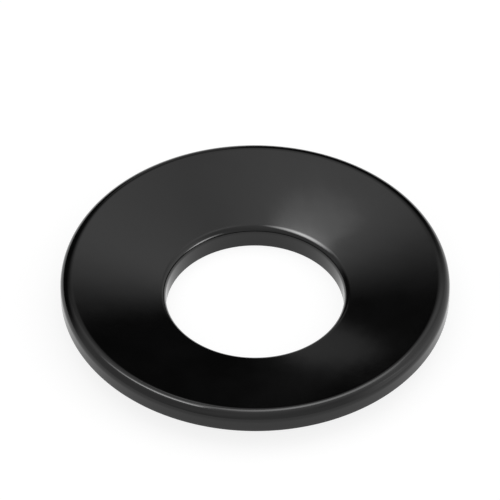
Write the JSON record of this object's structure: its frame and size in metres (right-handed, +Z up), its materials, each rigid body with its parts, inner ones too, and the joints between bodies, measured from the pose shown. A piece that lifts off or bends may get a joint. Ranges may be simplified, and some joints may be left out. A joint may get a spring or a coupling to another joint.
{
  "type": "belleville washer",
  "caption": "Black conical spring washer, dished towards a plain round hole, with a rounded upper rim and cylindrical hole and rim walls.",
  "frame": {"origin": "centre of the hole, in the plane that the lower edge of the hole rests on", "axes": "+Z up along the axis of the washer, out of its concave side"},
  "size_m": [0.023, 0.023, 0.0027],
  "materials": {
    "black_steel": "gloss"
  },
  "bodies": {
    "root": {"washer": "black_steel"}
  },
  "joints": []
}
